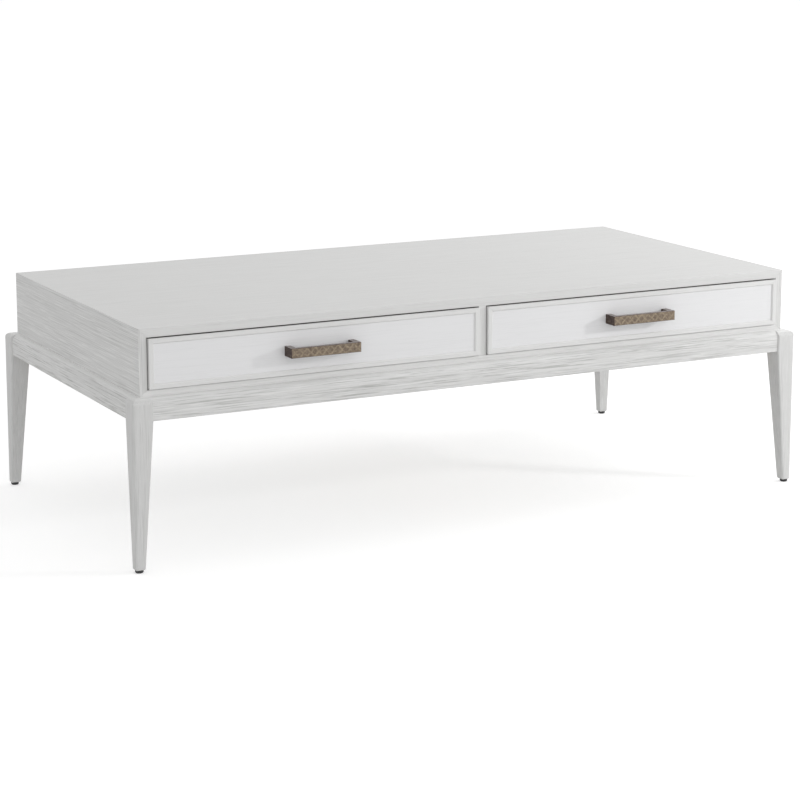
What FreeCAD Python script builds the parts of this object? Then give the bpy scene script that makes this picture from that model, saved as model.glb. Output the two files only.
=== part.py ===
import FreeCAD, Part
import math
import os
import re
import Sketcher

# A low coffee table: a mitred case with two drawers, on a base of four tapered legs and four rails.
# Millimetres. X runs along the table, Y from the front to the back and Z up. The origin is on the floor,
# below the middle of the case.

SIZES = {
    # Case
    "table_height": 457,
    "case_width": 1446,
    "case_depth": 706,
    "case_height": 128,
    "top_thickness": 17,
    "bottom_thickness": 12,
    "end_thickness": 16,
    "partition_thickness": 16,
    "back_thickness": 9,
    "back_rabbet": 6,
    "housing_depth": 4,
    "housing_stop": 12,
    # Base
    "leg_overhang": 21.5,
    "leg_top_width": 41,
    "leg_foot_width": 20,
    "leg_corner_radius": 5,
    "leg_edge_radius": 3.5,
    "foot_bevel": 1.5,
    "shoulder_radius": 12,
    "rail_setback": 3.5,
    "rail_height": 43,
    "rail_thickness": 25,
    "rail_edge_radius": 1.5,
    "tenon_gap": 2,
    "tenon_thickness": 10,
    "tenon_height": 24,
    "mortise_end_room": 1,
    "cross_rail_width": 60,
    "cross_tenon_length": 12,
    "cross_tenon_height": 12,
    "corner_block_reach": 85,
    "corner_block_height": 25,
    "glide_diameter": 16,
    "glide_height": 6,
    "glide_bevel": 1.5,
    # Drawer fronts and pulls
    "drawer_gap": 2,
    "front_stand": 6.5,
    "frame_width": 10,
    "frame_chamfer": 2,
    "panel_recess": 3,
    "panel_thickness": 13,
    "pull_length": 146,
    "pull_height": 19,
    "pull_projection": 32.5,
    "pull_bar_thickness": 9.5,
    "pull_post_width": 12,
    "pull_edge": 1,
    # Drawer boxes
    "box_tail_room": 18,
    "box_rise": 10,
    "box_top_room": 15,
    "box_side_thickness": 12,
    "box_end_thickness": 12,
    "box_bottom_thickness": 6,
    "groove_depth": 6,
    "groove_rise": 10,
    "bottom_play": 0.5,
    "tail_spacing": 25,
    "pin_tip_width": 5,
    "pin_splay": 2,
    # Telescopic slides
    "slide_space": 12.7,
    "slide_length": 500,
    "slide_setback": 2,
    "slide_height": 45,
    "slide_gauge": 1.2,
    "slide_lip": 5,
    "slide_side_room": 1.5,
    "slide_running_gap": 0.4,
    # Screws
    "screw_diameter": 4,
    "screw_head_diameter": 8,
    "screw_head_height": 2.5,
    "screw_clearance": 0.25,
    "thread_clearance": 0.05,
    "hole_end_room": 1,
    "pull_screw_grip": 14,
    "case_screw_skin": 1.5,
    "case_screw_inset": 42,
    # How far every cutting shape runs past the face that it starts from
    "cut_overrun": 5,
}

# Places and sizes that follow from the ones above.
WORKED_OUT = {
    "base_height": "table_height - case_height",
    "case_side": "case_width / 2",
    "case_face": "case_depth / 2",
    "end_inside": "case_side - end_thickness",
    "top_inside": "table_height - top_thickness",
    "opening_floor": "base_height + bottom_thickness",
    "opening_height": "case_height - top_thickness - bottom_thickness",
    "opening_width": "end_inside - partition_thickness / 2",
    "opening_middle": "partition_thickness / 2 + opening_width / 2",
    "back_inside": "case_face - back_thickness",
    "leg_inset": "leg_top_width - leg_overhang",
    "foot_inside": "leg_overhang - leg_foot_width",
    "foot_middle": "leg_overhang - leg_foot_width / 2",
    "rail_overhang": "leg_overhang - rail_setback",
    "rail_inset": "rail_thickness - rail_overhang",
    "rail_floor": "base_height - rail_height",
    "tenon_length": "leg_inset + tenon_low - tenon_gap",
    "tenon_low": "rail_overhang - rail_thickness / 2 - tenon_thickness / 2",
    "tenon_high": "tenon_low + tenon_thickness",
    "tenon_floor": "rail_floor + rail_height / 2 - tenon_height / 2",
    "tenon_top": "tenon_floor + tenon_height",
    "block_floor": "base_height - corner_block_height",
    "cross_rail_reach": "case_face - rail_inset",
    "cross_tenon_floor": "block_floor + corner_block_height / 2 - cross_tenon_height / 2",
    "frame_thickness": "panel_recess + panel_thickness",
    "front_width": "opening_width - 2 * drawer_gap",
    "front_height": "opening_height - 2 * drawer_gap",
    "front_middle": "opening_floor + opening_height / 2",
    "front_face": "case_face + front_stand",
    "front_rear": "frame_thickness - front_face",
    "post_middle": "pull_length / 2 - pull_post_width / 2",
    "box_width": "opening_width - 2 * slide_space",
    "box_inside": "box_width / 2 - box_side_thickness",
    "box_height": "opening_height - box_rise - box_top_room",
    "box_floor": "opening_floor + box_rise",
    "box_length": "slide_setback + slide_length + box_tail_room",
    "box_middle": "front_rear + box_length / 2",
    "groove_top": "groove_rise + box_bottom_thickness",
    "slide_middle": "box_floor + box_height / 2",
    "slide_centre": "front_rear + slide_setback + slide_length / 2",
    "slide_flange": "slide_space - slide_gauge - slide_side_room",
    "slide_step": "slide_gauge + slide_running_gap",
    "cabinet_half": "slide_height / 2",
    "middle_half": "cabinet_half - slide_step",
    "runner_half": "middle_half - slide_step",
    "runner_web_half": "middle_half - slide_lip - slide_running_gap",
    "screw_radius": "screw_diameter / 2",
    "screw_head_radius": "screw_head_diameter / 2",
    "clear_radius": "screw_radius + screw_clearance",
    "thread_radius": "screw_radius + thread_clearance",
    "case_screw_grip": "bottom_thickness - hole_end_room - case_screw_skin",
}

# The signs of X and Y at each corner, and the turn of its pieces, which are drawn for the back right one.
CORNERS = {
    "back_right": (1, 1, 0),
    "back_left": (-1, 1, 90),
    "front_left": (-1, -1, 180),
    "front_right": (1, -1, 270),
}
X_AXIS = FreeCAD.Vector(1, 0, 0)
Y_AXIS = FreeCAD.Vector(0, 1, 0)
Z_AXIS = FreeCAD.Vector(0, 0, 1)
QUARTER_TURN = math.pi / 2
TOUCH = 1e-6

document = FreeCAD.newDocument("CoffeeTable")
sheet = document.addObject("Spreadsheet::Sheet", "Sizes")
for row, (size_name, number) in enumerate(SIZES.items(), start=1):
    sheet.set(f"A{row}", size_name.replace("_", " "))
    sheet.set(f"B{row}", str(number))
    sheet.setAlias(f"B{row}", size_name)
document.recompute()


def formula(text):
    """Write a sum of size names as the sheet's own cells, with the worked-out sizes put in full."""

    def in_cells(match):
        word = match.group(0)
        if word in WORKED_OUT:
            return f"({formula(WORKED_OUT[word])})"
        return f"Sizes.{word}"

    return re.sub(r"[a-z][a-z_]*", in_cells, text)


def value(text):
    """Work out a sum of size names."""
    return float(sheet.evalExpression(formula(text)))


def bind(item, **sums):
    """Tie properties of an item to sums of size names. Two underscores stand for a dot."""
    for name, text in sums.items():
        item.setExpression(name.replace("__", "."), formula(text))


def place(item, x="0", y="0", z="0", axis=Z_AXIS, turn=0):
    """Turn an item about an axis through its own origin and tie its place to sums of size names."""
    item.Placement = FreeCAD.Placement(FreeCAD.Vector(), FreeCAD.Rotation(axis, turn))
    bind(item, Placement__Base__x=x, Placement__Base__y=y, Placement__Base__z=z)


def new_body(label):
    """Start one piece of the table."""
    body = document.addObject("PartDesign::Body", label)
    body.Label = label
    return body


def origin_item(body, role):
    """Find one of a piece's own axes or planes."""
    return next(item for item in body.Origin.OriginFeatures if item.Role == role)


def new_sketch(body, role, lift="0"):
    """Start a sketch on one of a piece's own planes, or lifted off it."""
    sketch = body.newObject("Sketcher::SketchObject", f"{body.Name}_outline")
    sketch.AttachmentSupport = [(origin_item(body, role), "")]
    sketch.MapMode = "FlatFace"
    bind(sketch, AttachmentOffset__Base__z=lift)
    return sketch


def hold(sketch, ties):
    """Hold ends of lines at distances from the sketch's origin. A tie is a direction, line, end and sum."""
    held = [Sketcher.Constraint(kind, -1, 1, line, end, value(text)) for kind, line, end, text in ties]
    for index, tie in zip(sketch.addConstraint(held), ties):
        sketch.setExpression(f"Constraints[{index}]", formula(tie[-1]))


def hold_radius(sketch, arc, text):
    """Tie an arc's radius to a sum of size names."""
    index = sketch.addConstraint(Sketcher.Constraint("Radius", arc, value(text)))
    sketch.setExpression(f"Constraints[{index}]", formula(text))


def draw_lines(sketch, corners, closed=True):
    """Draw straight lines from corner to corner, each corner held at its two distances."""
    first = sketch.GeometryCount
    points = [FreeCAD.Vector(value(across), value(up)) for across, up in corners]
    ends = points[1:] + points[:1] if closed else points[1:]
    sketch.addGeometry([Part.LineSegment(start, end) for start, end in zip(points, ends)])
    count = len(ends)
    joints = range(count if closed else count - 1)
    sketch.addConstraint([
        Sketcher.Constraint("Coincident", first + step, 2, first + (step + 1) % count, 1) for step in joints
    ])
    ties = []
    for step, (across, up) in enumerate(corners):
        line, end = (first + step, 1) if step < count else (first + count - 1, 2)
        ties.append(("DistanceX", line, end, across))
        ties.append(("DistanceY", line, end, up))
    hold(sketch, ties)


def add_pad(body, sketch, length, side="Symmetric", reverse=False):
    """Draw a sketch out into a solid."""
    pad = body.newObject("PartDesign::Pad", f"{body.Name}_pad")
    pad.Profile = sketch
    pad.SideType = side
    pad.Reversed = reverse
    bind(pad, Length=length)
    return pad


def add_box(body, kind, low, high):
    """Add or cut a block, Additive or Subtractive, between two corners."""
    box = body.newObject(f"PartDesign::{kind}Box", f"{body.Name}_block")
    sizes = [f"({far}) - ({near})" for near, far in zip(low, high)]
    bind(box, Length=sizes[0], Width=sizes[1], Height=sizes[2])
    place(box, *low)


def add_bore(body, start, radius, depth, axis=Z_AXIS, turn=0):
    """Drill a round hole from a point, upwards unless it is turned."""
    bore = body.newObject("PartDesign::SubtractiveCylinder", f"{body.Name}_bore")
    bind(bore, Radius=radius, Height=depth)
    place(bore, *start, axis=axis, turn=turn)


def edges_at(feature, **places):
    """Name the edges of a feature whose ends lie at the given coordinates."""
    document.recompute()
    names = []
    for number, edge in enumerate(feature.Shape.Edges, start=1):
        ends = [vertex.Point for vertex in edge.Vertexes]
        offs = [abs(getattr(end, axis) - value(text)) for end in ends for axis, text in places.items()]
        if max(offs) < TOUCH:
            names.append(f"Edge{number}")
    if not names:
        raise ValueError(f"{feature.Label} has no edge at {places}")
    return names


def edge_between(feature, start, end):
    """Name the edge of a feature that runs from one point to another."""
    document.recompute()
    wanted = [FreeCAD.Vector(*[value(text) for text in point]) for point in (start, end)]
    for number, edge in enumerate(feature.Shape.Edges, start=1):
        ends = [vertex.Point for vertex in edge.Vertexes]
        if all(min(point.distanceToPoint(tip) for tip in ends) < TOUCH for point in wanted):
            return f"Edge{number}"
    raise ValueError(f"{feature.Label} has no edge from {start} to {end}")


def ease_edges(body, kind, feature, names, **sizes):
    """Round or bevel named edges of a feature, as a Fillet or a Chamfer."""
    edge = body.newObject(f"PartDesign::{kind}", f"{body.Name}_edge")
    edge.Base = (feature, names)
    bind(edge, **sizes)
    return edge


def add_turned(body, role, profile):
    """Turn a half profile, radius by height, about the sketch's upright axis."""
    sketch = new_sketch(body, role)
    draw_lines(sketch, profile)
    turned = body.newObject("PartDesign::Revolution", f"{body.Name}_turned")
    turned.Profile = sketch
    turned.ReferenceAxis = (sketch, ["V_Axis"])


def make_pair(body, axis, length):
    """Repeat the whole piece once, a length away along one of its own axes."""
    document.recompute()
    pair = body.newObject("PartDesign::LinearPattern", f"{body.Name}_pair")
    pair.TransformMode = "Whole shape"
    pair.Direction = (origin_item(body, axis), [""])
    pair.Occurrences = 2
    bind(pair, Length=length)
    body.Tip = pair


def make_box_board(label, low, high):
    """Make a plain sawn board between two corners."""
    board = document.addObject("Part::Box", label)
    board.Label = label
    sizes = [f"({far}) - ({near})" for near, far in zip(low, high)]
    bind(board, Length=sizes[0], Width=sizes[1], Height=sizes[2])
    place(board, *low)


# Case


def cut_back_rabbet(body, low_x, high_x, low_z, high_z):
    """Rebate the rear inner edge of a case board for the back panel."""
    add_box(body, "Subtractive", (low_x, "back_inside", low_z), (high_x, "case_face + cut_overrun", high_z))


def cut_partition_housing(body, low_z, high_z):
    """Cut the stopped housing that takes the partition."""
    low = ("-partition_thickness / 2", "housing_stop - case_face", low_z)
    high = ("partition_thickness / 2", "back_inside + cut_overrun", high_z)
    add_box(body, "Subtractive", low, high)


def make_case_top():
    """The top board, mitred onto both ends."""
    body = new_body("case_top")
    sketch = new_sketch(body, "XZ_Plane")
    draw_lines(sketch, (
        ("-case_side", "table_height"),
        ("case_side", "table_height"),
        ("end_inside", "top_inside"),
        ("-end_inside", "top_inside"),
    ))
    add_pad(body, sketch, "case_depth")
    cut_back_rabbet(body, "-case_side", "case_side", "top_inside - cut_overrun", "top_inside + back_rabbet")
    cut_partition_housing(body, "top_inside - cut_overrun", "top_inside + housing_depth")


def make_case_bottom():
    """The bottom board, mitred onto both ends, with the holes of the screws that come up from the base."""
    body = new_body("case_bottom")
    sketch = new_sketch(body, "XZ_Plane")
    draw_lines(sketch, (
        ("-case_side", "base_height"),
        ("case_side", "base_height"),
        ("end_inside", "opening_floor"),
        ("-end_inside", "opening_floor"),
    ))
    add_pad(body, sketch, "case_depth")
    rabbet_floor = "opening_floor - back_rabbet"
    cut_back_rabbet(body, "-case_side", "case_side", rabbet_floor, "opening_floor + cut_overrun")
    cut_partition_housing(body, "opening_floor - housing_depth", "opening_floor + cut_overrun")
    for side, face, _ in CORNERS.values():
        start = (
            f"{side} * (case_side - case_screw_inset)",
            f"{face} * (case_face - case_screw_inset)",
            "base_height - cut_overrun",
        )
        add_bore(body, start, "thread_radius", "cut_overrun + case_screw_grip + hole_end_room")


def make_case_end(label, side):
    """A left or right end board, mitred onto the top and the bottom."""
    body = new_body(label)
    sketch = new_sketch(body, "XZ_Plane")
    draw_lines(sketch, (
        (f"{side} * case_side", "base_height"),
        (f"{side} * case_side", "table_height"),
        (f"{side} * end_inside", "top_inside"),
        (f"{side} * end_inside", "opening_floor"),
    ))
    add_pad(body, sketch, "case_depth")
    across = [f"{side} * (end_inside - cut_overrun)", f"{side} * (end_inside + back_rabbet)"]
    across.sort(key=value)
    cut_back_rabbet(body, *across, "base_height", "table_height")


def make_case_partition():
    """The board between the two drawers, let into the top and the bottom behind its front edge."""
    body = new_body("case_partition")
    sketch = new_sketch(body, "XZ_Plane")
    draw_lines(sketch, (
        ("-partition_thickness / 2", "opening_floor"),
        ("partition_thickness / 2", "opening_floor"),
        ("partition_thickness / 2", "top_inside"),
        ("-partition_thickness / 2", "top_inside"),
    ))
    add_pad(body, sketch, "case_depth - back_thickness")
    rear = "(case_depth - back_thickness) / 2"
    low = ("-partition_thickness / 2", f"housing_stop - {rear}", "opening_floor - housing_depth")
    high = ("partition_thickness / 2", rear, "top_inside + housing_depth")
    add_box(body, "Additive", low, high)
    place(body, y="-back_thickness / 2")


def make_case_back():
    """The back panel in its rabbets."""
    low = ("-end_inside - back_rabbet", "back_inside", "opening_floor - back_rabbet")
    high = ("end_inside + back_rabbet", "case_face", "top_inside + back_rabbet")
    make_box_board("case_back", low, high)


# Base


def place_at_corner(body, corner):
    """Set a piece that is drawn for the back right corner of the case at any of the four."""
    side, face, turn = CORNERS[corner]
    place(body, f"{side} * case_side", f"{face} * case_face", turn=turn)


def cut_through(body, sketch):
    """Cut a sketch right through a piece, both ways."""
    waste = body.newObject("PartDesign::Pocket", f"{body.Name}_cut")
    waste.Profile = sketch
    waste.Type = "ThroughAll"
    waste.SideType = "Symmetric"
    return waste


def cut_taper(body, role):
    """Taper an inner face of a leg from below the rail to the foot."""
    sketch = new_sketch(body, role)
    draw_lines(sketch, (
        ("-leg_inset", "rail_floor"),
        ("foot_inside", "glide_height"),
        ("foot_inside", "glide_height - cut_overrun"),
        ("-leg_inset - cut_overrun", "glide_height - cut_overrun"),
        ("-leg_inset - cut_overrun", "rail_floor"),
    ))
    return cut_through(body, sketch)


def cut_shoulder(body, role):
    """Round the top outer edge of a leg with a quarter circle."""
    sketch = new_sketch(body, role)
    draw_lines(sketch, (
        ("leg_overhang - shoulder_radius", "base_height"),
        ("leg_overhang - shoulder_radius", "base_height + cut_overrun"),
        ("leg_overhang + cut_overrun", "base_height + cut_overrun"),
        ("leg_overhang + cut_overrun", "base_height - shoulder_radius"),
        ("leg_overhang", "base_height - shoulder_radius"),
    ), closed=False)
    last_line = sketch.GeometryCount - 1
    middle = FreeCAD.Vector(value("leg_overhang - shoulder_radius"), value("base_height - shoulder_radius"))
    circle = Part.Circle(middle, Z_AXIS, value("shoulder_radius"))
    arc = sketch.addGeometry(Part.ArcOfCircle(circle, 0, QUARTER_TURN))
    sketch.addConstraint(Sketcher.Constraint("Coincident", last_line, 2, arc, 1))
    sketch.addConstraint(Sketcher.Constraint("Coincident", arc, 2, 0, 1))
    hold_radius(sketch, arc, "shoulder_radius")
    cut_through(body, sketch)


def round_leg(body, blank):
    """Round the three long edges of a tapered leg that show, and bevel the end of its foot."""
    corner = edges_at(blank, x="leg_overhang", y="leg_overhang")
    cornered = ease_edges(body, "Fillet", blank, corner, Radius="leg_corner_radius")
    knees = (("leg_overhang", "-leg_inset", "rail_floor"), ("-leg_inset", "leg_overhang", "rail_floor"))
    feet = (("leg_overhang", "foot_inside", "glide_height"), ("foot_inside", "leg_overhang", "glide_height"))
    sides = [edge_between(cornered, knee, foot) for knee, foot in zip(knees, feet)]
    rounded = ease_edges(body, "Fillet", cornered, sides, Radius="leg_edge_radius")
    ease_edges(body, "Chamfer", rounded, edges_at(rounded, z="glide_height"), Size="foot_bevel")


def make_leg(corner):
    """A leg with upright outer faces, inner faces that taper below the rails, and rounded shoulders."""
    body = new_body(f"{corner}_leg")
    section = new_sketch(body, "XY_Plane", lift="glide_height")
    draw_lines(section, (
        ("-leg_inset", "-leg_inset"),
        ("leg_overhang", "-leg_inset"),
        ("leg_overhang", "leg_overhang"),
        ("-leg_inset", "leg_overhang"),
    ))
    add_pad(body, section, "base_height - glide_height", side="One side")
    cut_taper(body, "XZ_Plane")
    round_leg(body, cut_taper(body, "YZ_Plane"))
    cut_shoulder(body, "XZ_Plane")
    cut_shoulder(body, "YZ_Plane")
    mouth = "-leg_inset - cut_overrun"
    depth = "tenon_length + mortise_end_room - leg_inset"
    add_box(body, "Subtractive", (mouth, "tenon_low", "tenon_floor"), (depth, "tenon_high", "tenon_top"))
    add_box(body, "Subtractive", ("tenon_low", mouth, "tenon_floor"), ("tenon_high", depth, "tenon_top"))
    place_at_corner(body, corner)


def make_rail(label, length, x, y, turn, takes_cross_rail):
    """A rail with a rounded upper edge and a tenon at each end. It is drawn as the back rail."""
    body = new_body(label)
    sketch = new_sketch(body, "YZ_Plane")
    draw_lines(sketch, (
        ("-rail_inset", "rail_floor"),
        ("rail_overhang", "rail_floor"),
        ("rail_overhang", "base_height"),
        ("-rail_inset", "base_height"),
    ))
    bar = add_pad(body, sketch, length)
    shoulder = edges_at(bar, y="rail_overhang", z="base_height")
    rounded = ease_edges(body, "Fillet", bar, shoulder, Radius="shoulder_radius")
    lower = edges_at(rounded, y="rail_overhang", z="rail_floor")
    lower += edges_at(rounded, y="-rail_inset", z="rail_floor")
    ease_edges(body, "Fillet", rounded, lower, Radius="rail_edge_radius")
    reach = f"({length}) / 2 + tenon_length"
    add_box(body, "Additive", (f"-({reach})", "tenon_low", "tenon_floor"), (reach, "tenon_high", "tenon_top"))
    if takes_cross_rail:
        low = ("-cross_rail_width / 2", "-rail_inset - cut_overrun", "cross_tenon_floor")
        deep = "cross_tenon_length + mortise_end_room - rail_inset"
        high = ("cross_rail_width / 2", deep, "cross_tenon_floor + cross_tenon_height")
        add_box(body, "Subtractive", low, high)
    place(body, x, y, turn=turn)


def make_rails():
    """The four rails between the legs."""
    long_rail = "case_width - 2 * leg_inset"
    short_rail = "case_depth - 2 * leg_inset"
    make_rail("base_back_rail", long_rail, "0", "case_face", 0, True)
    make_rail("base_front_rail", long_rail, "0", "-case_face", 180, True)
    make_rail("base_left_rail", short_rail, "-case_side", "0", 90, False)
    make_rail("base_right_rail", short_rail, "case_side", "0", 270, False)


def make_cross_rail():
    """The flat rail under the middle of the case, tenoned into the front and back rails."""
    body = new_body("base_cross_rail")
    half = "cross_rail_width / 2"
    low = (f"-{half}", "-cross_rail_reach", "block_floor")
    add_box(body, "Additive", low, (half, "cross_rail_reach", "base_height"))
    tip = "cross_rail_reach + cross_tenon_length"
    tongue_top = "cross_tenon_floor + cross_tenon_height"
    add_box(body, "Additive", (f"-{half}", f"-({tip})", "cross_tenon_floor"), (half, tip, tongue_top))


def make_corner_block(corner):
    """A glued block behind a leg that ties two rails together and takes a screw of the case."""
    body = new_body(f"{corner}_corner_block")
    sketch = new_sketch(body, "XY_Plane", lift="block_floor")
    draw_lines(sketch, (
        ("-leg_inset", "-rail_inset"),
        ("-rail_inset - corner_block_reach", "-rail_inset"),
        ("-rail_inset", "-rail_inset - corner_block_reach"),
        ("-rail_inset", "-leg_inset"),
        ("-leg_inset", "-leg_inset"),
    ))
    add_pad(body, sketch, "corner_block_height", side="One side")
    start = ("-case_screw_inset", "-case_screw_inset", "block_floor - cut_overrun")
    add_bore(body, start, "clear_radius", "corner_block_height + 2 * cut_overrun")
    place_at_corner(body, corner)


def make_glides():
    """The four glued glides under the legs, bevelled towards the floor."""
    body = new_body("leg_glides")
    add_turned(body, "XZ_Plane", (
        ("0", "0"),
        ("glide_diameter / 2 - glide_bevel", "0"),
        ("glide_diameter / 2", "glide_bevel"),
        ("glide_diameter / 2", "glide_height"),
        ("0", "glide_height"),
    ))
    across = "case_width + 2 * foot_middle"
    along = "case_depth + 2 * foot_middle"
    make_pair(body, "X_Axis", across)
    make_pair(body, "Y_Axis", along)
    place(body, f"-({across}) / 2", f"-({along}) / 2")


def add_screw(body, role, direction, length):
    """A screw with a low head, pointing along the sketch's upright axis or against it."""
    add_turned(body, role, (
        ("0", f"-{direction} * screw_head_height"),
        ("screw_radius", f"-{direction} * screw_head_height"),
        ("screw_head_radius", "0"),
        ("screw_radius", "0"),
        ("screw_radius", f"{direction} * ({length} - screw_radius)"),
        ("0", f"{direction} * ({length})"),
    ))


def make_case_screws():
    """The screws that come up through the corner blocks into the case."""
    body = new_body("case_screws")
    add_screw(body, "XZ_Plane", 1, "corner_block_height + case_screw_grip")
    across = "case_width - 2 * case_screw_inset"
    along = "case_depth - 2 * case_screw_inset"
    make_pair(body, "X_Axis", across)
    make_pair(body, "Y_Axis", along)
    place(body, f"-({across}) / 2", f"-({along}) / 2", "block_floor")


# Drawers


def make_frame_strip(label, length, x, z, turn):
    """A mitred strip round a drawer front, bevelled towards the panel. It is drawn as the lower one."""
    body = new_body(label)
    sketch = new_sketch(body, "XZ_Plane")
    draw_lines(sketch, (
        (f"-({length}) / 2", "0"),
        (f"({length}) / 2", "0"),
        (f"({length}) / 2 - frame_width", "frame_width"),
        (f"frame_width - ({length}) / 2", "frame_width"),
    ))
    strip = add_pad(body, sketch, "frame_thickness", side="One side", reverse=True)
    inner = edges_at(strip, y="0", z="frame_width")
    ease_edges(body, "Chamfer", strip, inner, Size="frame_chamfer")
    place(body, x, "-front_face", z, axis=Y_AXIS, turn=turn)


def make_drawer_frame(name, x):
    """The four strips round one drawer front."""
    make_frame_strip(f"{name}_frame_bottom", "front_width", x, "front_middle - front_height / 2", 0)
    make_frame_strip(f"{name}_frame_top", "front_width", x, "front_middle + front_height / 2", 180)
    make_frame_strip(f"{name}_frame_left", "front_height", f"{x} - front_width / 2", "front_middle", 90)
    make_frame_strip(f"{name}_frame_right", "front_height", f"{x} + front_width / 2", "front_middle", 270)


def drill_pull_holes(body, start_y, depth, up):
    """Drill for the two screws of a pull, forwards."""
    for side in (-1, 1):
        start = (f"{side} * post_middle", start_y, up)
        add_bore(body, start, "clear_radius", depth, axis=X_AXIS, turn=90)


def make_drawer_panel(name, x):
    """The flat panel inside the frame, set back from its face."""
    body = new_body(f"{name}_panel")
    half_width = "(front_width / 2 - frame_width)"
    half_height = "(front_height / 2 - frame_width)"
    low = (f"-{half_width}", "0", f"-{half_height}")
    high = (half_width, "panel_thickness", half_height)
    add_box(body, "Additive", low, high)
    drill_pull_holes(body, "panel_thickness + cut_overrun", "panel_thickness + 2 * cut_overrun", "0")
    place(body, x, "panel_recess - front_face", "front_middle")


def make_pull(name, x):
    """A square bar on two square posts, cut as one piece, with bevelled edges round its face."""
    body = new_body(f"{name}_pull")
    sketch = new_sketch(body, "XY_Plane")
    half = "pull_length / 2"
    bar_rear = "pull_bar_thickness - pull_projection"
    draw_lines(sketch, (
        (f"-{half}", "0"),
        (f"pull_post_width - {half}", "0"),
        (f"pull_post_width - {half}", bar_rear),
        (f"{half} - pull_post_width", bar_rear),
        (f"{half} - pull_post_width", "0"),
        (half, "0"),
        (half, "-pull_projection"),
        (f"-{half}", "-pull_projection"),
    ))
    bar = add_pad(body, sketch, "pull_height")
    ease_edges(body, "Chamfer", bar, edges_at(bar, y="-pull_projection"), Size="pull_edge")
    for side in (-1, 1):
        start = (f"{side} * post_middle", "cut_overrun", "0")
        depth = "cut_overrun + pull_screw_grip + hole_end_room"
        add_bore(body, start, "thread_radius", depth, axis=X_AXIS, turn=90)
    place(body, x, "panel_recess - front_face", "front_middle")


def make_pull_screws(name, x):
    """The two screws that clamp the pull and the drawer front on the box, with their heads inside it."""
    body = new_body(f"{name}_pull_screws")
    add_screw(body, "XY_Plane", -1, "(box_end_thickness + panel_thickness + pull_screw_grip)")
    make_pair(body, "X_Axis", "2 * post_middle")
    place(body, f"{x} - post_middle", "front_rear + box_end_thickness", "front_middle")


def tail_layout():
    """Give the number of dovetails up a box corner and the height from one to the next."""
    count = max(1, round(value("box_height / tail_spacing")))
    return count, f"(box_height / {count})"


def make_box_side(label, x, y, turn):
    """A box side with dovetails at both ends and a groove for the bottom. It is drawn as the left one."""
    body = new_body(label)
    count, pitch = tail_layout()
    front_end = [("box_end_thickness", "0")]
    for tail in range(count):
        low = f"{tail} * {pitch} + pin_tip_width / 2"
        high = f"{tail + 1} * {pitch} - pin_tip_width / 2"
        front_end.append(("box_end_thickness", f"{low} + pin_splay"))
        front_end.append(("0", low))
        front_end.append(("0", high))
        front_end.append(("box_end_thickness", f"{high} - pin_splay"))
    front_end.append(("box_end_thickness", "box_height"))
    rear_end = [(f"box_length - {along}", up) for along, up in reversed(front_end)]
    sketch = new_sketch(body, "YZ_Plane")
    draw_lines(sketch, front_end + rear_end)
    add_pad(body, sketch, "box_side_thickness", side="One side")
    low = ("box_side_thickness - groove_depth", "-cut_overrun", "groove_rise")
    high = ("box_side_thickness + cut_overrun", "box_length + cut_overrun", "groove_top")
    add_box(body, "Subtractive", low, high)
    place(body, x, y, "box_floor", turn=turn)


def make_box_end(label, x, y, turn, takes_screws):
    """A box front or back whose pins fill the gaps between the tails. It is drawn as the front."""
    body = new_body(label)
    board = new_sketch(body, "YZ_Plane")
    thick = "box_end_thickness"
    draw_lines(board, (("0", "0"), (thick, "0"), (thick, "box_height"), ("0", "box_height")))
    add_pad(body, board, "2 * box_inside")
    pins = new_sketch(body, "YZ_Plane")
    root_half = "(pin_tip_width / 2 + pin_splay)"
    tip_half = "pin_tip_width / 2"
    draw_lines(pins, (("0", "0"), (thick, "0"), (thick, root_half), ("0", tip_half)))
    count, pitch = tail_layout()
    for pin in range(1, count):
        middle = f"{pin} * {pitch}"
        draw_lines(pins, (
            ("0", f"{middle} - {tip_half}"),
            (thick, f"{middle} - {root_half}"),
            (thick, f"{middle} + {root_half}"),
            ("0", f"{middle} + {tip_half}"),
        ))
    draw_lines(pins, (
        ("0", f"box_height - {tip_half}"),
        (thick, f"box_height - {root_half}"),
        (thick, "box_height"),
        ("0", "box_height"),
    ))
    add_pad(body, pins, "box_width")
    low = ("-box_inside", f"{thick} - groove_depth", "groove_rise")
    high = ("box_inside", f"{thick} + cut_overrun", "groove_top")
    add_box(body, "Subtractive", low, high)
    if takes_screws:
        start = f"{thick} + cut_overrun"
        depth = f"{thick} + 2 * cut_overrun"
        drill_pull_holes(body, start, depth, "front_middle - box_floor")
    place(body, x, y, "box_floor", turn=turn)


def make_drawer_box(name, x):
    """The dovetailed box behind one drawer front."""
    rear = "front_rear + box_length"
    make_box_end(f"{name}_box_front", x, "front_rear", 0, True)
    make_box_end(f"{name}_box_back", x, rear, 180, False)
    make_box_side(f"{name}_box_left_side", f"{x} - box_width / 2", "front_rear", 0)
    make_box_side(f"{name}_box_right_side", f"{x} + box_width / 2", rear, 180)
    half = "(box_inside + groove_depth - bottom_play)"
    reach = "(box_length / 2 - box_end_thickness + groove_depth - bottom_play)"
    low = (f"{x} - {half}", f"box_middle - {reach}", "box_floor + groove_rise")
    high = (f"{x} + {half}", f"box_middle + {reach}", "box_floor + groove_top")
    make_box_board(f"{name}_box_bottom", low, high)


def channel_profile(near, far, half):
    """A channel of sheet steel with turned-in lips, open towards the drawer."""
    upper = (
        (near, half),
        (far, half),
        (far, f"{half} - slide_lip"),
        (f"{far} - slide_gauge", f"{half} - slide_lip"),
        (f"{far} - slide_gauge", f"{half} - slide_gauge"),
        (f"{near} + slide_gauge", f"{half} - slide_gauge"),
    )
    lower = tuple((across, f"-({up})") for across, up in reversed(upper))
    return upper + lower


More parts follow.
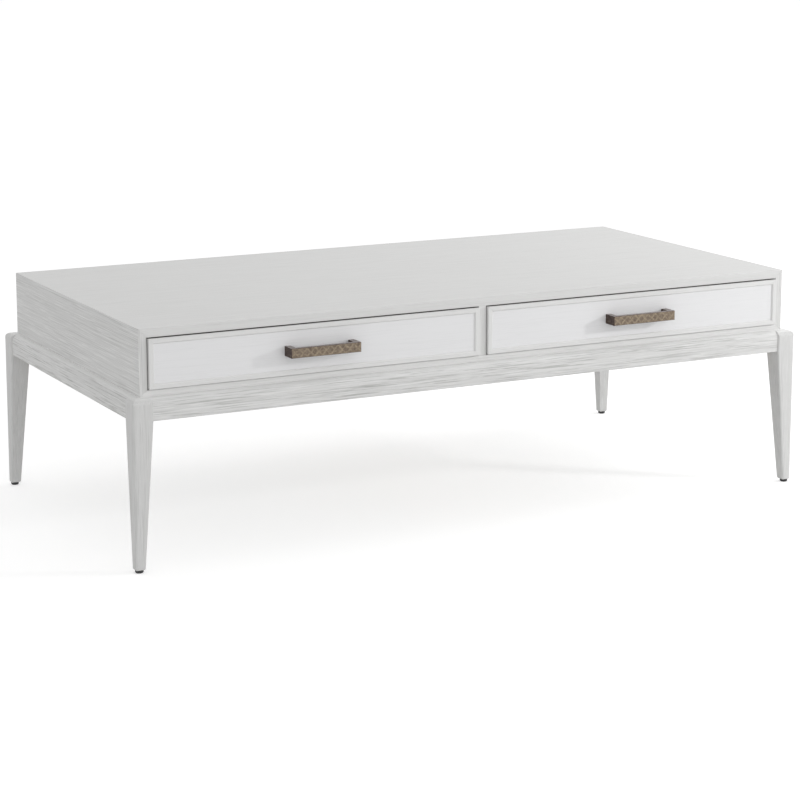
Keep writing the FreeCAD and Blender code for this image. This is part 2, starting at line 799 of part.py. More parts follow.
def runner_profile(near, far):
    """The drawer's member: a channel on the box with turned-out lips inside the middle member."""
    upper = (
        (far, "runner_web_half"),
        (f"{near} + slide_gauge", "runner_web_half"),
        (f"{near} + slide_gauge", "runner_half"),
        (near, "runner_half"),
        (near, "runner_web_half - slide_gauge"),
        (f"{far} - slide_gauge", "runner_web_half - slide_gauge"),
    )
    lower = tuple((across, f"-({up})") for across, up in reversed(upper))
    return upper + lower


def make_slide_members(label, x, profile):
    """One member of the left slide of a drawer and its mirror image on the right."""
    body = new_body(label)
    sketch = new_sketch(body, "XZ_Plane")
    for side in (-1, 1):
        draw_lines(sketch, [(f"{side} * (opening_width / 2 - ({across}))", up) for across, up in profile])
    add_pad(body, sketch, "slide_length")
    place(body, x, "slide_centre", "slide_middle")


def make_drawer_slides(name, x):
    """The three nested members of both slides of one drawer."""
    cabinet = channel_profile("0", "slide_flange", "cabinet_half")
    make_slide_members(f"{name}_slide_cabinet_members", x, cabinet)
    middle = channel_profile("slide_step", "slide_flange - slide_step", "middle_half")
    make_slide_members(f"{name}_slide_middle_members", x, middle)
    make_slide_members(f"{name}_slide_drawer_members", x, runner_profile("2 * slide_step", "slide_space"))


def make_drawer(name, side):
    """One drawer with its slides."""
    x = f"{side} * opening_middle"
    make_drawer_frame(name, x)
    make_drawer_panel(name, x)
    make_pull(name, x)
    make_pull_screws(name, x)
    make_drawer_box(name, x)
    make_drawer_slides(name, x)


def write_pieces():
    """Check every item of the document and write one file for each piece."""
    document.recompute()
    for item in document.Objects:
        if "Invalid" in item.State or "Error" in item.State:
            raise RuntimeError(f"{item.Label} failed: {item.State}")
    pieces = [item for item in document.Objects if item.TypeId in ("PartDesign::Body", "Part::Box")]
    for piece in pieces:
        if piece.Shape.isNull() or not piece.Shape.isValid():
            raise RuntimeError(f"{piece.Label} has no valid shape")
    os.makedirs("parts", exist_ok=True)
    for piece in pieces:
        piece.Shape.exportStep(f"parts/{piece.Label}.step")


make_case_top()
make_case_bottom()
make_case_end("case_left_end", -1)
make_case_end("case_right_end", 1)
make_case_partition()
make_case_back()
make_rails()
make_cross_rail()
for corner_name in CORNERS:
    make_leg(corner_name)
    make_corner_block(corner_name)
make_glides()
make_case_screws()
make_drawer("left_drawer", -1)
make_drawer("right_drawer", 1)
write_pieces()
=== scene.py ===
import math

import bmesh
import bpy
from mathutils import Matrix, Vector, noise


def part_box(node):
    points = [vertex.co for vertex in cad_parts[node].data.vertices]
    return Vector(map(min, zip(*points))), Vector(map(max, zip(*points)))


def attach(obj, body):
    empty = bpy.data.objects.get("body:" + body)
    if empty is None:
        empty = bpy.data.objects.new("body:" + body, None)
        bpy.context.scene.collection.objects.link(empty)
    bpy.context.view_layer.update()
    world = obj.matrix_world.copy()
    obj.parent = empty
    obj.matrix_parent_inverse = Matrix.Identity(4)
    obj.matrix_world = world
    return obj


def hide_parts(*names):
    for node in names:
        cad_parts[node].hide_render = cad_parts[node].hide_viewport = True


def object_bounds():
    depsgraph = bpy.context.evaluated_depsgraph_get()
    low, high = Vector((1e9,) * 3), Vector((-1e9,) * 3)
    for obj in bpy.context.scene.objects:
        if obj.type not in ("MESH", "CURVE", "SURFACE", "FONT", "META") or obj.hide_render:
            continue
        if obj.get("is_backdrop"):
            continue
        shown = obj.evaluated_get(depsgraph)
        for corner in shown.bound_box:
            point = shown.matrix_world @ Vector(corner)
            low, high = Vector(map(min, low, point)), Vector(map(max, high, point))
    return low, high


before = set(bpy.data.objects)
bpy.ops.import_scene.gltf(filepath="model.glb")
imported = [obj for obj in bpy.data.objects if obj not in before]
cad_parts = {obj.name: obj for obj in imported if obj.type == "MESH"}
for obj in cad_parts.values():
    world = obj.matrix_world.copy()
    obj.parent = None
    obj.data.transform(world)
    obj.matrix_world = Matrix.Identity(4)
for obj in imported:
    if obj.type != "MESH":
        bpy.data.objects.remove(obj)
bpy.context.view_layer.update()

bl_info = {
    "name": "Coffee table with drawers",
    "version": (1, 0, 0),
    "blender": (4, 5, 0),
    "location": "3D View > Sidebar > Coffee Table",
    "description": "Finishes the boards, legs, drawers and pulls of a low limed oak table",
    "category": "Object",
}

MM = 0.001
WHITE = (1, 1, 1, 1)
# Inputs of the colour mix node
MIX_SHARE, MIX_FIRST, MIX_SECOND = 0, 6, 7

# Metres along X, Y and Z, of which the grain of each piece starts at its own random share
GRAIN_OFFSETS = (17, 29, 41)
# A face looks along the grain if that part of its normal is larger.
END_FACE = 0.7
# Upward parts of the normal at which the painted light or shade of upper faces sets in and is full
ROUNDED_EDGE, LEVEL_FACE = (0.72, 1), (0.8, 0.95)
# A face of a pull looks up if that part of its normal is larger.
UPPER_FACE = 0.9
# Places of the face's bronze and of the upper sides' bronze with its painted sheen among a pull's materials
FACE_BRONZE, UPPER_BRONZE = 1, 2
# How far the etched lines stray sideways, and the length over which they do
ETCH_STRAY, STRAY_LENGTH = 2.5 * MM, 16 * MM
# How narrow the etched lines are, as a power of a wave
ETCH_POWER = 3
# Height that is left of the etched lines, how much that varies, and over which length
ETCH_LEFT, ETCH_WEAR, WEAR_LENGTH = 0.7, 0.3, 14 * MM
# Points that lie closer than this are joined before the edges are eased.
WELD_GAP = 0.01 * MM
# Edges sharper than this are eased.
EASED_FROM = math.radians(40)
# How far the floor reaches each way and how far the camera sees, in metres
FLOOR_REACH, SIGHT = 60, 200


def linear(hex_colour):
    """Turn an sRGB hex colour into linear red, green and blue."""
    shares = [int(hex_colour[start:start + 2], 16) / 255 for start in (1, 3, 5)]
    return [share / 12.92 if share <= 0.04045 else ((share + 0.055) / 1.055) ** 2.4 for share in shares]


def colour(name, description, hex_colour):
    """A colour that the user can change."""
    return bpy.props.FloatVectorProperty(
        name=name, description=description, default=linear(hex_colour), size=3, min=0, max=1, subtype="COLOR"
    )


def length(name, description, millimetres):
    """A length that the user can change."""
    return bpy.props.FloatProperty(
        name=name, description=description, default=millimetres * MM, min=0, precision=5, unit="LENGTH"
    )


def position(name, description, metres):
    """A place that the user can change."""
    return bpy.props.FloatVectorProperty(name=name, description=description, default=metres, subtype="TRANSLATION")


def power(name, description, watts):
    """A lamp's power that the user can change."""
    return bpy.props.FloatProperty(name=name, description=description, default=watts, min=0, unit="POWER")


def fraction(name, description, part):
    """A share of the whole that the user can change."""
    return bpy.props.FloatProperty(name=name, description=description, default=part, min=0, max=1, subtype="FACTOR")


def angle(name, description, degrees):
    """An angle that the user can change."""
    return bpy.props.FloatProperty(
        name=name, description=description, default=math.radians(degrees), subtype="ANGLE"
    )


class TableColours(bpy.types.PropertyGroup):
    """Colours of the finishes."""

    wash: colour("White wash", "Pigment that lies on the oak", "#dbdbda")
    grain: colour("Oak grain", "Grey wood that shows between the wash", "#a1a19e")
    wax: colour("Pore wax", "White wax in the brushed pores", "#efefee")
    # Painted highlight: this lighter shade stands in for light from above on the rounded upper edges of legs and rails.
    painted_edge_highlight: colour("Gathered wash", "Thicker wash on the rounded upper edges of legs and rails", "#e6e6e5")
    panel: colour("Drawer panel", "Denser wash on the drawer panels", "#e5e5e6")
    # Painted shade: this dark shade stands in for the shade in the gap under the case top, on the strips' upper faces.
    painted_gap_shade: colour("Bare oak", "Upper edges of the drawer fronts, where the wash stops", "#6f6c68")
    box_wood: colour("Drawer box", "Lacquered maple of the drawer boxes", "#d9c6a6")
    box_grain: colour("Drawer box grain", "Darker lines in the maple", "#b99d76")
    ply_wood: colour("Drawer bottom", "Birch plywood of the drawer bottoms", "#ddcdb0")
    ply_grain: colour("Drawer bottom grain", "Darker lines in the birch", "#c2a984")
    pine_wood: colour("Blocks", "Planed pine of the blocks under the case", "#d8bd92")
    pine_grain: colour("Block grain", "Late wood lines in the pine", "#b48a58")
    bronze: colour("Rubbed bronze", "High lines of the etched face", "#9a8d79")
    patina: colour("Patina", "Dark brown patina on the pulls", "#544845")
    # Painted sheen: this lighter grey stands in for the reflection of the light above on the pulls' upper faces.
    painted_top_sheen: colour("Worn bronze", "Upper faces of the pulls, rubbed grey", "#b2acaa")
    zinc: colour("Zinc", "Bright zinc on the slides and screws", "#b9bcbf")
    dull_zinc: colour("Dull zinc", "Clouded places in the zinc", "#a0a2a5")
    nylon: colour("Nylon", "Black nylon of the glides", "#1b1b1c")
    dust: colour("Dust", "Scuffed places on the nylon", "#39393a")


class TableSizes(bpy.types.PropertyGroup):
    """Sizes of the surface work."""

    board_edge: length("Board edge", "How far the case boards' edges are eased", 0.6)
    strip_edge: length("Strip edge", "How far the drawer strips' edges are eased", 0.4)
    box_edge: length("Box edge", "How far the drawer boxes' edges are eased", 0.4)
    pull_edge: length("Pull edge", "Bevel round the face of a pull", 1.0)
    bar_thickness: length("Bar thickness", "Thickness of a pull's bar", 9.5)
    post_width: length("Post width", "Width of a pull's posts", 12)
    etch_pitch: length("Etching pitch", "Distance between the crossed lines on a pull's face", 11.5)
    etch_depth: length("Etching depth", "Height of the crossed lines on a pull's face", 0.3)
    etch_step: length("Etching step", "Spacing of the points that make up a pull's face", 1.0)
    shank_width: length("Shank width", "Width of the shanks of the pulls' screws", 4)
    screw_spread: length("Screw spread", "Distance of the front screws from the drawer's middle", 220)
    screw_rise: length("Screw rise", "Distance of the front screws from the middle of the box's height", 14)


class StageSettings(bpy.types.PropertyGroup):
    """Camera and light."""

    camera_place: position("Camera", "Place of the camera", (-2.2454, -4.3394, 1.2748))
    camera_yaw: angle("Yaw", "Turn of the camera to the right", 27.352)
    camera_pitch: angle("Pitch", "Tilt of the camera downwards", 10.297)
    camera_shift: bpy.props.FloatProperty(
        name="Shift", description="Shift of the picture, as a share of its height", default=-0.12
    )
    lens: bpy.props.FloatProperty(
        name="Lens", description="Focal length in millimetres on a 36 mm sensor", default=106.18, unit="CAMERA"
    )
    sky: bpy.props.FloatProperty(name="Sky", description="Strength of the light all round", default=1.415)
    zenith: fraction("Zenith", "Loss of that light straight overhead", 0.6)
    flanks: fraction("Flanks", "Loss of that light on either side", 0.35)
    key_watts: power("Key light", "Watts of the low lamp on the right", 20)
    key_place: position("Key place", "Place of the low lamp on the right", (2.46, -1.76, 1.19))
    key_size: length("Key size", "Width of the low lamp on the right", 200)
    softbox_watts: power("Softbox", "Watts of the softbox above", 21)
    softbox_place: position("Softbox place", "Place of the softbox above", (2.2, 0.1, 2.4))
    softbox_size: length("Softbox size", "Width of the softbox above", 2000)
    fill_watts: power("Fill light", "Watts of the lamp by the camera", 10)
    fill_place: position("Fill place", "Place of the lamp by the camera", (-2.2, -5.4, 1.3))
    fill_size: length("Fill size", "Width of the lamp by the camera", 3000)
    floor: colour("Floor", "Colour of the studio floor", "#e2e2e2")
    floor_lift: fraction("Floor lift", "How far the floor is lifted to white for the camera", 0.465)


def add_node(tree, kind, inputs=None, **settings):
    """Add a shader node with its settings. An input is a value, a socket, or a node whose result is linked."""
    added = tree.nodes.new("ShaderNode" + kind)
    for name, setting in settings.items():
        setattr(added, name, setting)
    for socket, source in (inputs or {}).items():
        if isinstance(source, bpy.types.Node):
            source = next(output for output in source.outputs if output.enabled)
        if isinstance(source, bpy.types.NodeSocket):
            tree.links.new(source, added.inputs[socket])
        else:
            added.inputs[socket].default_value = source
    return added


def new_material(name):
    """Start a material with an empty node tree."""
    material = bpy.data.materials.new(name)
    material.use_nodes = True
    material.node_tree.nodes.clear()
    return material, material.node_tree


def rgba(shade):
    """A colour with a full alpha."""
    return (*shade, 1)


def mottle(tree, place, sizes, detail, low=0, high=1, bottom=0, top=1, shape="LINEAR", roughness=0.6):
    """Random patches whose sizes along X, Y and Z are in millimetres.

    Where the noise goes from low to high, the patches go from bottom to top.
    """
    scale = [1 / (size * MM) for size in sizes]
    scaled = add_node(tree, "VectorMath", {0: place, 1: scale}, operation="MULTIPLY")
    spots = {"Vector": scaled, "Scale": 1, "Detail": detail, "Roughness": roughness, "Distortion": 0.2}
    ends = {"From Min": low, "From Max": high, "To Min": bottom, "To Max": top}
    ends["Value"] = add_node(tree, "TexNoise", spots)
    return add_node(tree, "MapRange", ends, interpolation_type=shape)


def wood(name, along, shades, shares, sizes, roughness, end_grain=0, edge_along=None, upper=None, upper_from=None):
    """Wood with lines along X, Y or Z.

    The shades are those of the ground, the lines and the pores. The shares say how strongly lines and pores
    show. The sizes are the width and the length of a line in millimetres. Faces that look along the grain are
    darker by the share end_grain, or are banded with lines along edge_along. Faces that look up take the shade
    upper, or only those behind the depth upper_from; upper is painted light or shade, not a finish of the wood.
    """
    material, tree = new_material(name)
    ground, lines, pores = shades
    line_share, pore_share = shares
    width, run = sizes
    here = add_node(tree, "TexCoord").outputs
    place = here["Object"]
    axes = add_node(tree, "SeparateXYZ", {0: place}).outputs
    normal = add_node(tree, "SeparateXYZ", {0: here["Normal"]}).outputs
    facing = add_node(tree, "Math", {0: normal[along]}, operation="ABSOLUTE")
    on_end = add_node(tree, "Math", {0: facing, 1: END_FACE}, operation="GREATER_THAN")
    if edge_along:
        turned = {along: edge_along, edge_along: along}
        edge_place = add_node(tree, "CombineXYZ", {axis: axes[turned.get(axis, axis)] for axis in "XYZ"})
        either = {MIX_SHARE: on_end, MIX_FIRST: place, MIX_SECOND: edge_place}
        place = add_node(tree, "Mix", either, data_type="RGBA")
    piece = add_node(tree, "ObjectInfo").outputs["Random"]
    apart = add_node(tree, "VectorMath", {0: piece, 1: GRAIN_OFFSETS}, operation="MULTIPLY")
    start = add_node(tree, "VectorMath", {0: place, 1: apart}, operation="ADD")

    def streaks(across, lengthwise, **pattern):
        spans = [lengthwise if axis == along else across for axis in "XYZ"]
        return mottle(tree, start, spans, shape="SMOOTHSTEP", **pattern)

    bands = streaks(5 * width, 4 * run, detail=3, low=0.35, high=0.7, top=0.3 * line_share)
    thin_lines = streaks(width, run, detail=3, low=0.5, high=0.64)
    open_pores = streaks(0.8 * width, run / 2, detail=2, low=0.52, high=0.66, top=pore_share)
    patches = streaks(60, 240, detail=2, low=0.3, high=0.7, bottom=0.6 * line_share, top=line_share)
    dark_lines = add_node(tree, "Math", {0: thin_lines, 1: patches}, operation="MULTIPLY")
    layers = [(bands, lines), (dark_lines, lines), (open_pores, pores)]
    if end_grain:
        layers.append((add_node(tree, "Math", {0: on_end, 1: end_grain}, operation="MULTIPLY"), lines))
    # Painted light and shade: faces that look up take the shade upper, a painted highlight on rounded edges or painted
    # shade behind upper_from.
    if upper is not None:
        sets_in, full = ROUNDED_EDGE if upper_from is None else LEVEL_FACE
        looks_up = add_node(tree, "MapRange", {"Value": normal["Z"], "From Min": sets_in, "From Max": full})
        if upper_from is not None:
            behind = add_node(tree, "Math", {0: axes["Y"], 1: upper_from}, operation="GREATER_THAN")
            looks_up = add_node(tree, "Math", {0: looks_up, 1: behind}, operation="MULTIPLY")
        layers.append((looks_up, upper))
    shade = rgba(ground)
    for share, layer in layers:
        covered = {MIX_SHARE: share, MIX_FIRST: shade, MIX_SECOND: rgba(layer)}
        shade = add_node(tree, "Mix", covered, data_type="RGBA")
    hollows = add_node(tree, "Math", {0: dark_lines, 1: open_pores}, operation="ADD")
    relief = {"Strength": 0.4, "Distance": 0.2 * MM, "Height": hollows}
    gloss = {"Value": thin_lines, "To Min": roughness, "To Max": roughness + 0.12}
    surface = add_node(tree, "BsdfPrincipled", {
        "Base Color": shade,
        "Roughness": add_node(tree, "MapRange", gloss),
        "Normal": add_node(tree, "Bump", relief, invert=True),
        "IOR": 1.5,
    })
    add_node(tree, "OutputMaterial", {"Surface": surface})
    return material


def limed_oak(along, tone, lines, pores, sizes=(1.8, 90), **edges):
    """Oak, wire-brushed and white-washed: grey lines and white pores under a matt pale film.

    The brushed lines and pores of oak are about 0.3 mm wide. That is too fine to show, so they are drawn 1.2 to
    2.2 mm wide.
    """
    name = f"limed_oak_{along}_{round(100 * tone)}_{round(100 * lines)}"
    if name in bpy.data.materials:
        return bpy.data.materials[name]
    colours = bpy.context.scene.table_colours
    shades = [tone * share for share in colours.wash], colours.grain, colours.wax
    return wood(name, along, shades, (lines, pores), sizes, roughness=0.58, **edges)


def antiqued_bronze(name, high, low, rub_share, blotch_share=0.25, etch_share=0):
    """Cast bronze, etched and patinated: brown-grey with lighter rubbed places, half dull.

    The rubbed places vary by blotch_share, and the etched hollows are darker by etch_share. The grit of the
    casting is about 0.2 mm. That is too fine to show, so it is drawn 0.8 mm wide.
    """
    material, tree = new_material(name)
    place = add_node(tree, "TexCoord").outputs["Object"]
    blotches = mottle(tree, place, (5, 5, 5), detail=4, roughness=0.7)
    least, most = rub_share - blotch_share, rub_share + blotch_share
    ends = {"From Min": 0.35, "From Max": 0.65, "To Min": least, "To Max": most}
    rubbed = add_node(tree, "MapRange", {"Value": blotches, **ends})
    if etch_share:
        etching = add_node(tree, "Attribute", attribute_name="etching").outputs["Fac"]
        hollow = add_node(tree, "Math", {0: etching, 1: etch_share}, operation="MULTIPLY")
        rubbed = add_node(tree, "Math", {0: rubbed, 1: hollow}, operation="SUBTRACT")
    shade = {MIX_SHARE: rubbed, MIX_FIRST: rgba(low), MIX_SECOND: rgba(high)}
    gloss = {"Value": blotches, "From Min": 0.3, "From Max": 0.7, "To Min": 0.6, "To Max": 0.42}
    grit = mottle(tree, place, (0.8, 0.8, 0.8), detail=2)
    relief = {"Strength": 0.25, "Distance": 0.1 * MM, "Height": grit}
    surface = add_node(tree, "BsdfPrincipled", {
        "Base Color": add_node(tree, "Mix", shade, data_type="RGBA"),
        "Metallic": 1,
        "Roughness": add_node(tree, "MapRange", gloss),
        "Normal": add_node(tree, "Bump", relief),
    })
    add_node(tree, "OutputMaterial", {"Surface": surface})
    return material


def zinc_plated_steel():
    """Steel, cold-rolled and zinc plated: cool grey with a faint cloudy sheen and lines along the rolling.

    The lines of the rolling are under 0.1 mm. That is too fine to show, so they are drawn 1.5 mm wide.
    """
    material, tree = new_material("zinc_plated_steel")
    colours = bpy.context.scene.table_colours
    place = add_node(tree, "TexCoord").outputs["Object"]
    sheen = mottle(tree, place, (25, 25, 25), detail=3)
    shade = {MIX_SHARE: sheen, MIX_FIRST: rgba(colours.dull_zinc), MIX_SECOND: rgba(colours.zinc)}
    rolling = mottle(tree, place, (1.5, 80, 1.5), detail=3)
    relief = {"Strength": 0.15, "Distance": 0.05 * MM, "Height": rolling}
    surface = add_node(tree, "BsdfPrincipled", {
        "Base Color": add_node(tree, "Mix", shade, data_type="RGBA"),
        "Metallic": 1,
        "Roughness": add_node(tree, "MapRange", {"Value": sheen, "To Min": 0.28, "To Max": 0.46}),
        "Normal": add_node(tree, "Bump", relief),
    })
    add_node(tree, "OutputMaterial", {"Surface": surface})
    return material


def black_nylon():
    """Nylon, moulded: black and dull, with a fine grain and dusty scuffs.

    The grain of the mould is about 0.1 mm. That is too fine to show, so it is drawn 0.6 mm wide.
    """
    material, tree = new_material("black_nylon")
    colours = bpy.context.scene.table_colours
    place = add_node(tree, "TexCoord").outputs["Object"]
    scuffs = mottle(tree, place, (3, 3, 3), detail=4)
    shade = {MIX_SHARE: scuffs, MIX_FIRST: rgba(colours.nylon), MIX_SECOND: rgba(colours.dust)}
    grain = mottle(tree, place, (0.6, 0.6, 0.6), detail=2)
    relief = {"Strength": 0.2, "Distance": 0.1 * MM, "Height": grain}
    surface = add_node(tree, "BsdfPrincipled", {
        "Base Color": add_node(tree, "Mix", shade, data_type="RGBA"),
        "Roughness": add_node(tree, "MapRange", {"Value": scuffs, "To Min": 0.45, "To Max": 0.7}),
        "Normal": add_node(tree, "Bump", relief),
        "IOR": 1.53,
    })
    add_node(tree, "OutputMaterial", {"Surface": surface})
    return material


def apply_finish(node, material, edge=0):
    """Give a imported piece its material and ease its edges."""
    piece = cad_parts[node]
    for slot in piece.material_slots:
        slot.material = material
    if edge > 0:
        welded = piece.modifiers.new("Closed edges", "WELD")
        welded.merge_threshold = WELD_GAP
        eased = piece.modifiers.new("Eased edges", "BEVEL")
        eased.width = edge
        eased.segments = 2
        eased.limit_method = "ANGLE"
        eased.angle_limit = EASED_FROM


def link_mesh(name, mesh):
    """Turn a finished mesh into a piece of the scene."""
    data = bpy.data.meshes.new(name)
    mesh.to_mesh(data)
    mesh.free()
    piece = bpy.data.objects.new(name, data)
    bpy.context.scene.collection.objects.link(piece)
    return piece


class COFFEETABLE_OT_case(bpy.types.Operator):
    """Finish the boards of the case"""

    bl_idname = "coffeetable.case"
    bl_label = "Case"

    def execute(self, context):
        edge = context.scene.table_sizes.board_edge
        apply_finish("case_top", limed_oak("X", tone=0.97, lines=0.12, pores=0.12, sizes=(1.6, 120)), edge)
        # Painted light: the bottom board is a little lighter than the other boards, to lift the shade on its front edge
        # under the drawers.
        apply_finish("case_bottom", limed_oak("X", tone=1.06, lines=0.2, pores=0.2), edge)
        ends = limed_oak("Y", tone=0.96, lines=0.42, pores=0.6, sizes=(1.5, 190), edge_along="Z")
        apply_finish("case_left_end", ends, edge)
        apply_finish("case_right_end", ends, edge)
        apply_finish("case_partition", limed_oak("Z", tone=1.02, lines=0.2, pores=0.2), edge)
        apply_finish("case_back", limed_oak("X", tone=1.0, lines=0.4, pores=0.4), edge)
        return {"FINISHED"}


class COFFEETABLE_OT_base(bpy.types.Operator):
    """Finish the rails and legs, and the pine pieces behind them"""

    bl_idname = "coffeetable.base"
    bl_label = "Base"

    def execute(self, context):
        colours = context.scene.table_colours
        # Painted highlight: the rounded upper edges, along the joint with the case, are painted lighter, as light from
        # above falls on them.
        edges = {"upper": colours.painted_edge_highlight}
        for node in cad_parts:
            if node.endswith("_leg"):
                apply_finish(node, limed_oak("Z", tone=0.915, lines=0.25, pores=0.2, sizes=(2.2, 90), **edges))
        for side, along in (("front", "X"), ("back", "X"), ("left", "Y"), ("right", "Y")):
            rail = limed_oak(along, tone=1.0, lines=0.7, pores=0.45, sizes=(2.2, 110), **edges)
            apply_finish(f"base_{side}_rail", rail)
        # Pine, planed and left raw: warm, with wide late wood lines.
        shades = colours.pine_wood, colours.pine_grain, colours.pine_wood
        pine = wood("planed_pine", "Y", shades, shares=(0.7, 0.1), sizes=(5, 200), roughness=0.6)
        apply_finish("base_cross_rail", pine, context.scene.table_sizes.box_edge)
        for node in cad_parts:
            if node.endswith("_corner_block"):
                apply_finish(node, pine, context.scene.table_sizes.box_edge)
        return {"FINISHED"}


class COFFEETABLE_OT_glides(bpy.types.Operator):
    """Finish the glides under the legs"""

    bl_idname = "coffeetable.glides"
    bl_label = "Glides"

    def execute(self, context):
        apply_finish("leg_glides", black_nylon())
        return {"FINISHED"}


class COFFEETABLE_OT_drawer_fronts(bpy.types.Operator):
    """Finish the panels and the mitred strips round them"""

    bl_idname = "coffeetable.drawer_fronts"
    bl_label = "Drawer fronts"

    def execute(self, context):
        colours = context.scene.table_colours
        edge = context.scene.table_sizes.strip_edge
        # Oak veneer, sanded and given a denser wash: nearly even, with a trace of the grain. Its pores are
        # drawn as coarse as those of the limed oak.
        shades = colours.panel, colours.grain, colours.wax
        veneer = wood("washed_veneer", "X", shades, shares=(0.05, 0.06), sizes=(1.8, 90), roughness=0.55)
        # Painted shade: the strips' upper faces behind the case front are painted dark, for the shade in the gap under
        # the case top.
        edges = {"upper": colours.painted_gap_shade, "upper_from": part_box("case_top")[0].y}
        for drawer in ("left_drawer", "right_drawer"):
            apply_finish(f"{drawer}_panel", veneer)
            for side, along in (("top", "X"), ("bottom", "X"), ("left", "Z"), ("right", "Z")):
                strip = limed_oak(along, tone=1.03, lines=0.1, pores=0.15, **edges)
                apply_finish(f"{drawer}_frame_{side}", strip, edge)
        return {"FINISHED"}


class COFFEETABLE_OT_pulls(bpy.types.Operator):
    """Make the square bar pulls with their etched faces"""

    bl_idname = "coffeetable.pulls"
    bl_label = "Pulls"

    def execute(self, context):
        colours = context.scene.table_colours
        high, low = colours.bronze, colours.patina
        sides = antiqued_bronze("patinated_bronze", high, low, rub_share=0.05)
        face = antiqued_bronze("etched_bronze", high, low, rub_share=0.9, blotch_share=0.22, etch_share=0.5)
        # The upper faces get a painted sheen: a lighter grey for the reflection of the light above.
        painted_top_sheen = antiqued_bronze("worn_bronze", colours.painted_top_sheen, low, rub_share=0.6)
        for drawer in ("left_drawer", "right_drawer"):
            pull = self.make_pull(f"{drawer}_bar_pull", *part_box(f"{drawer}_pull"), context.scene.table_sizes)
            for bronze in (sides, face, painted_top_sheen):
                pull.data.materials.append(bronze)
            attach(pull, drawer)
            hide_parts(f"{drawer}_pull")
        return {"FINISHED"}

    def make_pull(self, name, low, high, sizes):
        """Lay out the etched face as a grid, then draw its rim back into the bar and the two posts."""
        mesh = bmesh.new()
        etching = mesh.verts.layers.float.new("etching")
        edge = sizes.pull_edge
        left, right = low.x + sizes.post_width, high.x - sizes.post_width

        def steps(start, stop):
            count = max(1, round((stop - start) / sizes.etch_step))
            return [start + (stop - start) * step / count for step in range(count)]

        over_left, between, over_right = steps(low.x + edge, left), steps(left, right), steps(right, high.x - edge)
        columns = over_left + between + over_right + [high.x - edge]
        rows = steps(low.z + edge, high.z - edge) + [high.z - edge]
        grid = [[mesh.verts.new((x, low.y, z)) for x in columns] for z in rows]
        for lower, upper in zip(grid, grid[1:]):
            for corner in range(len(columns) - 1):
                etched = mesh.faces.new((lower[corner], lower[corner + 1], upper[corner + 1], upper[corner]))
                etched.material_index = FACE_BRONZE
                etched.smooth = True
        for row in grid[1:-1]:
            for point in row[1:-1]:
                point[etching] = self.hollow(point.co, sizes)
                point.co.y += sizes.etch_depth * point[etching]

        def ring(depth):
            """Points behind the rim of the face, set out to the pull's full width and height."""
            xs = [low.x, *columns[1:-1], high.x]
            zs = [low.z, *rows[1:-1], high.z]
            around = [(x, zs[0]) for x in xs] + [(xs[-1], z) for z in zs[1:-1]]
            around += [(x, zs[-1]) for x in reversed(xs)] + [(xs[0], z) for z in reversed(zs[1:-1])]
            return [mesh.verts.new((x, depth, z)) for x, z in around]

        def wall(near, far):
            for corner in range(len(near)):
                after = (corner + 1) % len(near)
                mesh.faces.new((near[after], near[corner], far[corner], far[after]))

        rim = grid[0] + [row[-1] for row in grid[1:-1]] + grid[-1][::-1] + [row[0] for row in grid[-2:0:-1]]
        shoulder = ring(low.y + edge)
        rear = ring(low.y + sizes.bar_thickness)
        wall(rim, shoulder)
        wall(shoulder, rear)
        # The ring runs along the lower edge, up the right end, back along the upper edge and down the left end.
        count, height = len(columns), len(rows)
        first, last = len(over_left), len(over_left) + len(between)
        top = rear[count + height - 2:2 * count + height - 2][::-1]
        mesh.faces.new(rear[first:last + 1][::-1] + top[first:last + 1])
        left_post = rear[:first + 1] + top[first::-1] + rear[2 * count + height - 2:]
        right_post = rear[last:count + height - 2] + top[last:][::-1]
        for post in (left_post, right_post):
            foot = [mesh.verts.new((point.co.x, high.y, point.co.z)) for point in post]
            wall(post, foot)
            mesh.faces.new(foot[::-1])
        mesh.normal_update()
        # Faces that look up get the bronze with the painted sheen.
        for side in mesh.faces:
            if side.normal.z > UPPER_FACE:
                side.material_index = UPPER_BRONZE
        return link_mesh(name, mesh)

    def hollow(self, place, sizes):
        """How far a point of a pull's face lies below the crossed raised lines, from zero to one."""
        stray = ETCH_STRAY * noise.noise(place / STRAY_LENGTH)
        ridges = []
        for way in (place.x + place.z + stray, place.x - place.z - stray):
            turns = way / (sizes.etch_pitch * math.sqrt(2))
            ridges.append(max(0, math.cos(2 * math.pi * turns)) ** ETCH_POWER)
        left = ETCH_LEFT + ETCH_WEAR * noise.noise(place / WEAR_LENGTH)
        return 1 - left * max(ridges)


class COFFEETABLE_OT_drawer_boxes(bpy.types.Operator):
    """Finish the dovetailed boxes"""

    bl_idname = "coffeetable.drawer_boxes"
    bl_label = "Drawer boxes"

    def execute(self, context):
        colours = context.scene.table_colours
        edge = context.scene.table_sizes.box_edge
        for along, boards in (("Y", ("left_side", "right_side")), ("X", ("front", "back"))):
            # Maple, planed and lacquered: fine pale brown lines under a satin film. The lines are under 1 mm
            # wide. That is too fine to show, so they are drawn 3.5 mm wide.
            shades = colours.box_wood, colours.box_grain, colours.box_wood
            facts = {"shares": (0.45, 0.1), "sizes": (3.5, 160), "roughness": 0.38, "end_grain": 0.75}
            maple = wood(f"lacquered_maple_{along}", along, shades, **facts)
            for drawer in ("left_drawer", "right_drawer"):
                for board in boards:
                    apply_finish(f"{drawer}_box_{board}", maple, edge)
        # Birch plywood, sanded and lacquered: broad pale figure.
        shades = colours.ply_wood, colours.ply_grain, colours.ply_wood
        birch = wood("birch_plywood", "X", shades, shares=(0.4, 0.1), sizes=(9, 260), roughness=0.42)
        for drawer in ("left_drawer", "right_drawer"):
            apply_finish(f"{drawer}_box_bottom", birch)
        return {"FINISHED"}


